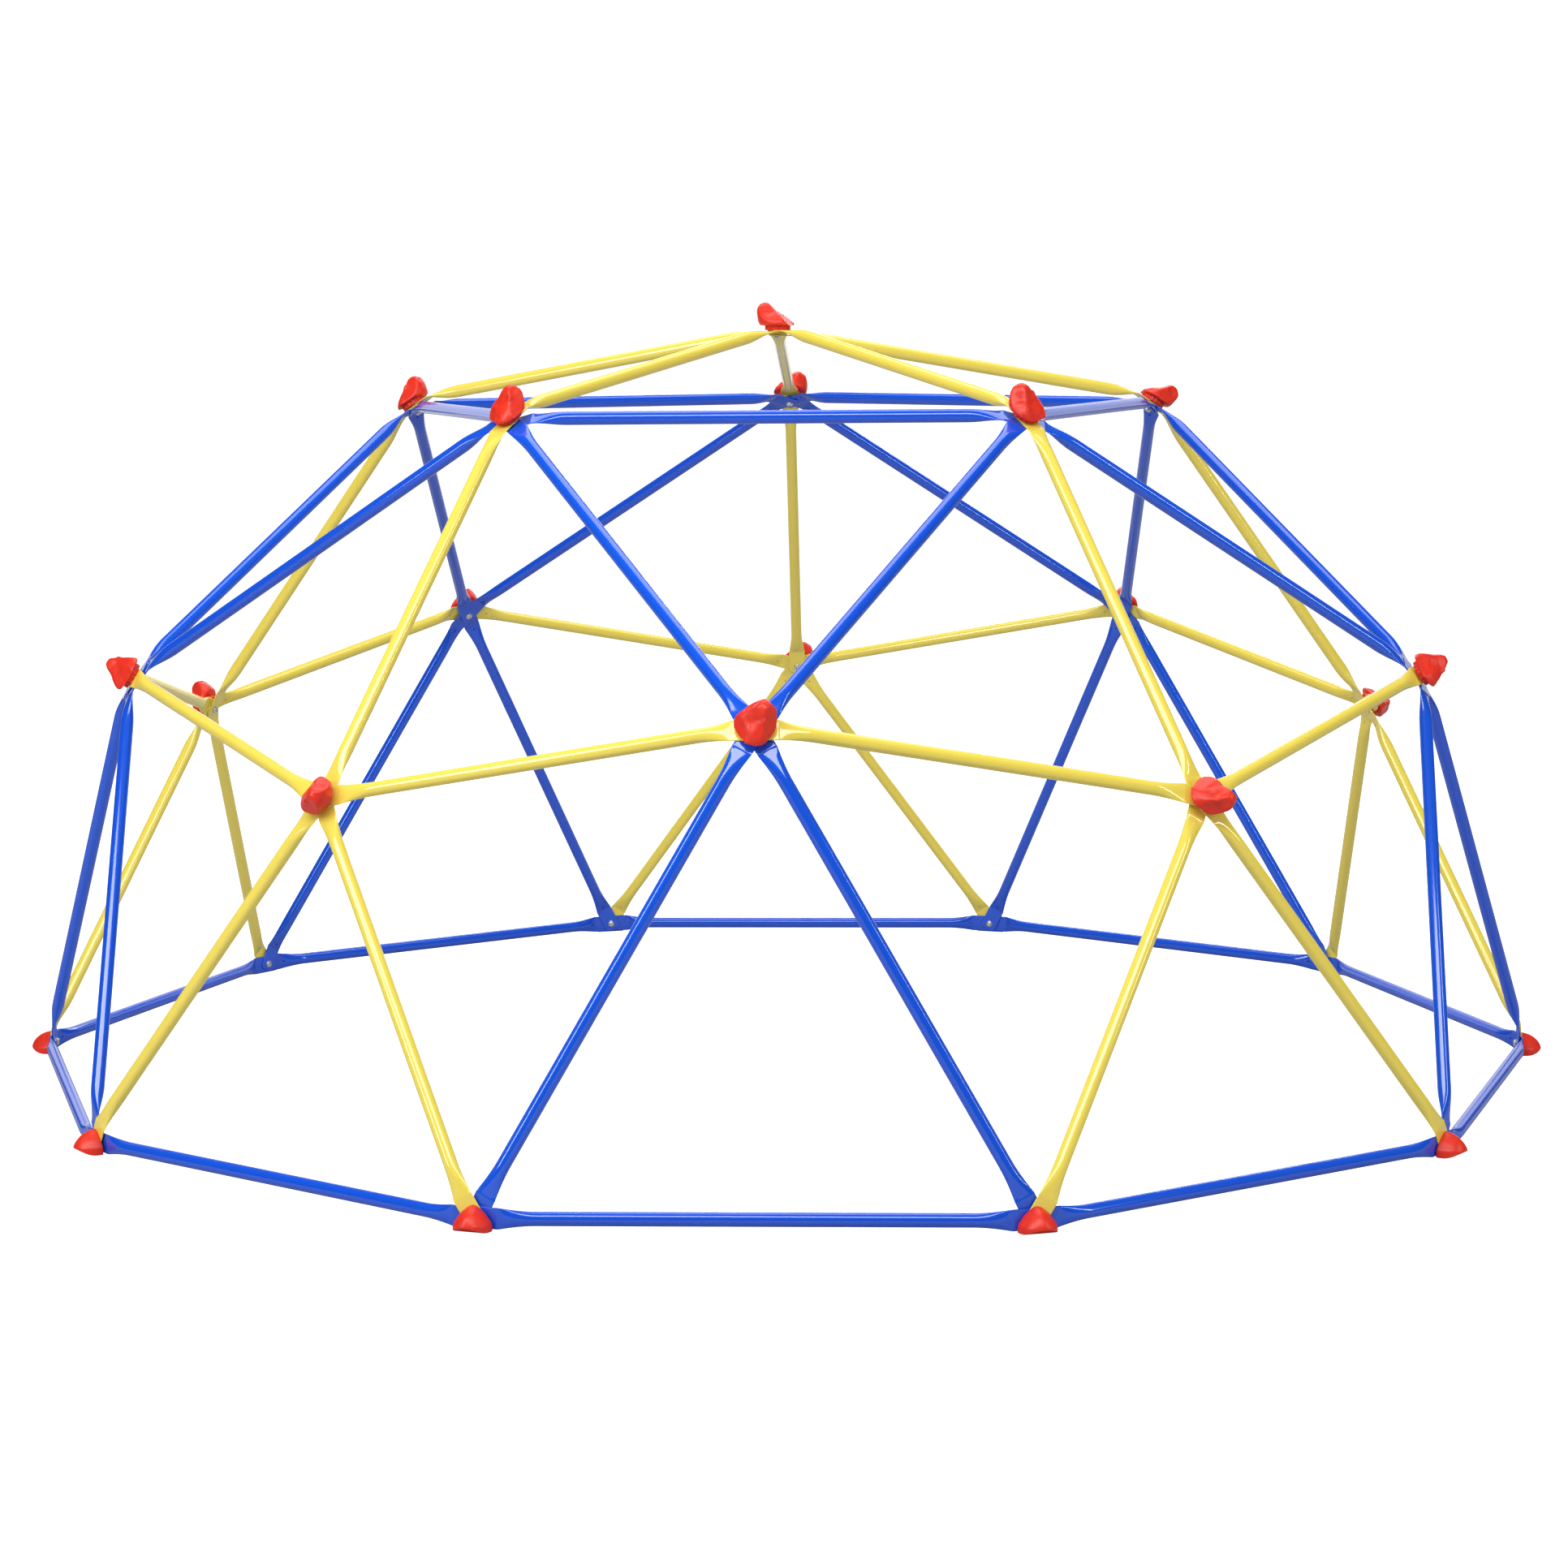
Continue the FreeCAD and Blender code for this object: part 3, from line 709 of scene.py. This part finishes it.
def hold_body(points):
    """Crescent, facets, lumps and grain on the hold's smooth body, height by height."""
    edge = points @ unit(np.array(CRESCENT[0])) - CRESCENT[1] * MM
    points = press(points, *CRESCENT, CRESCENT_SOFTNESS)
    groove = GROOVE_DEPTH * np.exp(-(edge / GROOVE_HALF_WIDTH) ** 2)
    points = points - outward(points) * groove[:, None]
    for normal, distance in HOLD_FACETS:
        points = press(points, normal, distance)
    for centre, radius, height in HOLD_LUMPS:
        away = np.linalg.norm(points / MM - np.array(centre), axis=1) / radius
        points = points + outward(points) * (height * MM * np.exp(-away ** 2))[:, None]
    grain = sum(height * np.array([noise.noise(Vector(p) * pitch) for p in points])
                for pitch, height in HOLD_GRAIN)
    return points + outward(points) * (grain * MM)[:, None]


def collar_ring(height, radius, ribbed):
    """Round ring of the hold's collar, with or without its ribs."""
    angles = np.arange(HOLD_AROUND) * 2 * math.pi / HOLD_AROUND
    wave = np.cos(angles * COLLAR_RIBS + RIB_PHASE) * RIB_STEEPNESS
    wave = np.clip(wave, -1, 1) * 0.5 + 0.5
    r = radius + (RIB_HEIGHT * wave if ribbed else 0.0)
    return np.column_stack([r * np.cos(angles), r * np.sin(angles),
                            np.full(HOLD_AROUND, height)])


def pocket_rings(ring):
    """Rings of the pocket for the insert and the bolt's tip, from its bottom out."""
    return [ring(BOLT_POCKET, POCKET_POLE_RADIUS, False),
            ring(BOLT_POCKET, BOLT_HOLE_RADIUS, False),
            ring(INSERT_LENGTH, BOLT_HOLE_RADIUS, False),
            ring(INSERT_LENGTH, INSERT_RADIUS, False), ring(0.0, INSERT_RADIUS, False)]


def hand_hold():
    """Rock-shaped hold: ribbed collar under an overhanging body, local Z outwards."""
    rings = pocket_rings(collar_ring)
    rings += [collar_ring(0.0, COLLAR_RADIUS - 0.6 * MM, True),
              collar_ring(0.6 * MM, COLLAR_RADIUS, True),
              collar_ring(COLLAR_HEIGHT - 1.2 * MM, COLLAR_RADIUS, True),
              collar_ring(COLLAR_HEIGHT - 0.8 * MM, COLLAR_RADIUS + RIB_HEIGHT, False)]
    body = [hold_ring(*row) for row in smooth_rows(HOLD_LEVELS, HOLD_STEPS)]
    underside = body[:HOLD_STEPS - 1]
    shaped = hold_body(np.concatenate(body[HOLD_STEPS - 1:]))
    rings += underside + list(shaped.reshape(-1, HOLD_AROUND, 3))
    return Shape(np.concatenate(rings), ring_faces(len(rings), HOLD_AROUND))


def build_holds():
    shape = hand_hold()
    groups = (("apex_hold", [apex], (APEX_TURN,)),
              ("crown_holds", crown[:5], CROWN_TURNS),
              ("lower_waist_holds", lower_waist[:5], LOWER_WAIST_TURNS),
              ("upper_waist_holds", upper_waist, UPPER_WAIST_TURNS))
    for node, hubs, turns in groups:
        copies = [shape.moved(hub.frame_at(hub.outer_face(), turn))
                  for hub, turn in zip(hubs, turns)]
        finished(node + "_moulded", joined(copies), red, "red_plastic", node)


# Foot caps ----------------------------------------------------------------------------

CAP_HALF_WIDTH = 34 * MM
CAP_HEIGHT = 43.6 * MM
CAP_NOSE = 12 * MM
CAP_DEPTH = 42 * MM
CAP_ARCH_STEPS = 8
CAP_SOLE_STEPS = 24
CAP_ROWS = 26
CAP_EDGE = 1.2 * MM
SOLE_FLAT = 0.25               # share of the depth that stands level on the ground
CAP_PLAN_POWER = 2.2           # 2 would be a half ellipse seen from above
CAP_TOP_POWERS = (1.8, 0.62)   # roundness of the top, from the back to the nose
# Lower corners: where rounding starts, how wide it is and how far it lifts
CORNER_START = 0.95
CORNER_WIDTH = 0.055
CORNER_LIFT = 0.02
# Outline of the cap's back: share of the half width, and share of the height
CAP_ARCH = ((1.0, 0.0), (1.005, 0.16), (0.965, 0.34), (0.83, 0.50), (0.64, 0.69),
            (0.43, 0.84), (0.22, 0.955), (0.0, 1.0))


def cap_ring(fraction, inset=0.0):
    """Outline of the cap at a share of its depth: an arch over a sole that rises ahead."""
    width = CAP_HALF_WIDTH * math.sqrt(max(0.0, 1 - fraction ** CAP_PLAN_POWER)) - inset
    fall, bulge = CAP_TOP_POWERS
    top = CAP_NOSE + (CAP_HEIGHT - CAP_NOSE) * (1 - fraction ** fall) ** bulge - inset
    rise = max(0.0, (fraction - SOLE_FLAT) / (1 - SOLE_FLAT)) ** 2
    sole = CAP_NOSE * rise + inset
    half = CAP_ARCH + tuple((-x, z) for x, z in reversed(CAP_ARCH[:-1]))
    arch = np.array(smooth_rows(half, CAP_ARCH_STEPS))
    straight = np.linspace(-1, 1, CAP_SOLE_STEPS + 1)[1:-1]
    across = np.concatenate([arch[:, 0], straight])
    up = np.concatenate([arch[:, 1], np.zeros(len(straight))])
    corner = np.clip(1 - (np.abs(across) - CORNER_START) / CORNER_WIDTH, 0, 1)
    lift = np.where(up < CORNER_LIFT, (1 - corner) * CORNER_LIFT, 0.0)
    return np.column_stack([sole + (top - sole) * np.maximum(up, lift), width * across,
                            np.full(len(across), CAP_DEPTH * fraction)])


def cap_pocket_ring(height, radius, _):
    """Round ring about the bolt, with its points in line with the cap's outline."""
    outline = cap_ring(0.0)
    away = outline[:, :2] - np.array([HUB_HEIGHT, 0.0])
    away /= np.linalg.norm(away, axis=1)[:, None]
    return np.column_stack([HUB_HEIGHT + radius * away[:, 0], radius * away[:, 1],
                            np.full(len(away), height)])


def foot_cap():
    """Half-dome cap: local X up from the ground, local Z outwards."""
    rings = pocket_rings(cap_pocket_ring)
    rings.append(cap_ring(0.0, CAP_EDGE * 0.5))
    rings.append(cap_ring(0.02))
    for row in range(1, CAP_ROWS + 1):
        angle = math.pi / 2 * row / CAP_ROWS
        rings.append(cap_ring(min(math.sin(angle), 0.9995)))
    return Shape(np.concatenate(rings), ring_faces(len(rings), len(rings[0])))


def build_foot_caps():
    shape = foot_cap()
    copies = [shape.moved(hub.frame_at(hub.outer_face() - UP * HUB_HEIGHT))
              for hub in ground[:10]]
    finished("foot_caps_moulded", joined(copies), red, "red_plastic", "foot_caps")


# Stage, light and camera --------------------------------------------------------------

AMBIENT = 0.52                 # world strength for diffuse light
REFLECTED = 0.06               # world strength in reflections
BACKGROUND = 1.05              # world strength as the camera sees it
FLOOR_GLOW = 1.0               # what the floor adds where the camera sees it
FLOOR_REACH = 60.0
LIGHT_TARGET = (0.0, 0.0, 0.6)
# Camera: place in metres; yaw, pitch and roll in radians; sensor and lens in millimetres;
# shift in sensor widths
CAMERA_PLACE = (0.2346, -7.2317, 1.5237)
CAMERA_TURNS = (-0.03165, -0.18544, -0.0053)
SENSOR_WIDTH = 36.0
LENS = 81.24
LENS_SHIFT = 0.121
# Name, place, size and power of each light
LIGHTS = (
    ("front_strip", (-0.4, -3.6, 3.7), (5.0, 1.1), 115.0),
    ("left_strip", (-3.5, -3.5, 2.7), (1.0, 2.8), 68.0),
    ("right_strip", (4.6, -2.6, 2.4), (0.3, 2.4), 32.0),
    ("overhead_softbox", (0.0, 0.8, 4.8), (4.0, 3.0), 95.0),
    ("back_strip", (0.5, 4.5, 3.3), (4.0, 0.3), 40.0),
    ("white_backdrop", (0.0, 6.0, 1.6), (10.0, 3.6), 115.0),
)


def build_floor():
    """Pale floor. The camera sees it glow a little, so it meets the white background."""
    nodes = Nodes("pale_floor")
    mottle = nodes.noise(nodes.place(), 3.0, 4.0)
    nodes.link(nodes.mix(nodes.ramp(mottle, 0.3, 0.7, 0.0, 1.0), (0.42, 0.42, 0.42),
                         (0.39, 0.39, 0.39)), nodes.shader.inputs["Base Color"])
    nodes.shader.inputs["Roughness"].default_value = 0.85
    nodes.shader.inputs["Emission Color"].default_value = (1.0, 1.0, 1.0, 1.0)
    path = nodes.add("ShaderNodeLightPath")
    nodes.link(nodes.ramp(path.outputs["Is Camera Ray"], 0.0, 1.0, 0.0, FLOOR_GLOW),
               nodes.shader.inputs["Emission Strength"])
    corners = [(x * FLOOR_REACH, y * FLOOR_REACH, 0)
               for x, y in ((-1, -1), (1, -1), (1, 1), (-1, 1))]
    floor = mesh_object("floor", Shape(corners, [(0, 1, 2, 3)]), nodes.material)


def area_light(name, place, size, power):
    """Rectangular light that faces the dome and isn't seen itself."""
    data = bpy.data.lights.new(name, "AREA")
    data.shape = "RECTANGLE"
    data.size, data.size_y = size
    data.energy = power
    light = bpy.data.objects.new(name, data)
    light.location = place
    aim = Vector(LIGHT_TARGET) - Vector(place)
    light.rotation_euler = aim.to_track_quat("-Z", "Y").to_euler()
    light.visible_camera = False
    bpy.context.scene.collection.objects.link(light)


def build_light():
    """Soft lights round the dome, and a white world that lights it less than it shows."""
    for light in LIGHTS:
        area_light(*light)
    world = bpy.data.worlds.new("studio")
    world.use_nodes = True
    tree = world.node_tree
    tree.nodes.clear()
    path = tree.nodes.new("ShaderNodeLightPath")

    def background(strength):
        node = tree.nodes.new("ShaderNodeBackground")
        node.inputs["Color"].default_value = (1.0, 1.0, 1.0, 1.0)
        node.inputs["Strength"].default_value = strength
        return node.outputs[0]

    def choose(ray, otherwise, chosen):
        node = tree.nodes.new("ShaderNodeMixShader")
        tree.links.new(path.outputs[ray], node.inputs[0])
        tree.links.new(otherwise, node.inputs[1])
        tree.links.new(chosen, node.inputs[2])
        return node.outputs[0]

    shown = choose("Is Diffuse Ray", background(BACKGROUND), background(AMBIENT))
    shown = choose("Is Glossy Ray", shown, background(REFLECTED))
    output = tree.nodes.new("ShaderNodeOutputWorld")
    tree.links.new(shown, output.inputs["Surface"])
    bpy.context.scene.world = world


def build_camera():
    """Camera a little above and right of the front, looking slightly down."""
    place = Vector(CAMERA_PLACE)
    yaw, pitch, roll = CAMERA_TURNS
    ahead = Vector((math.sin(yaw) * math.cos(pitch), math.cos(yaw) * math.cos(pitch),
                    math.sin(pitch)))
    level_right = Vector((math.cos(yaw), -math.sin(yaw), 0.0))
    level_up = level_right.cross(ahead)
    right = level_right * math.cos(roll) + level_up * math.sin(roll)
    up = level_up * math.cos(roll) - level_right * math.sin(roll)
    data = bpy.data.cameras.new("camera")
    data.sensor_width = SENSOR_WIDTH
    data.lens = LENS
    data.shift_y = LENS_SHIFT
    data.clip_end = 200.0
    camera = bpy.data.objects.new("camera", data)
    turn = Matrix((right, up, -ahead)).transposed().to_4x4()
    camera.matrix_world = Matrix.Translation(place) @ turn
    bpy.context.scene.collection.objects.link(camera)
    bpy.context.scene.camera = camera
    bpy.context.scene.view_settings.view_transform = "Standard"


build_camera()
build_light()
build_floor()
build_struts()
build_fasteners()
build_holds()
build_foot_caps()
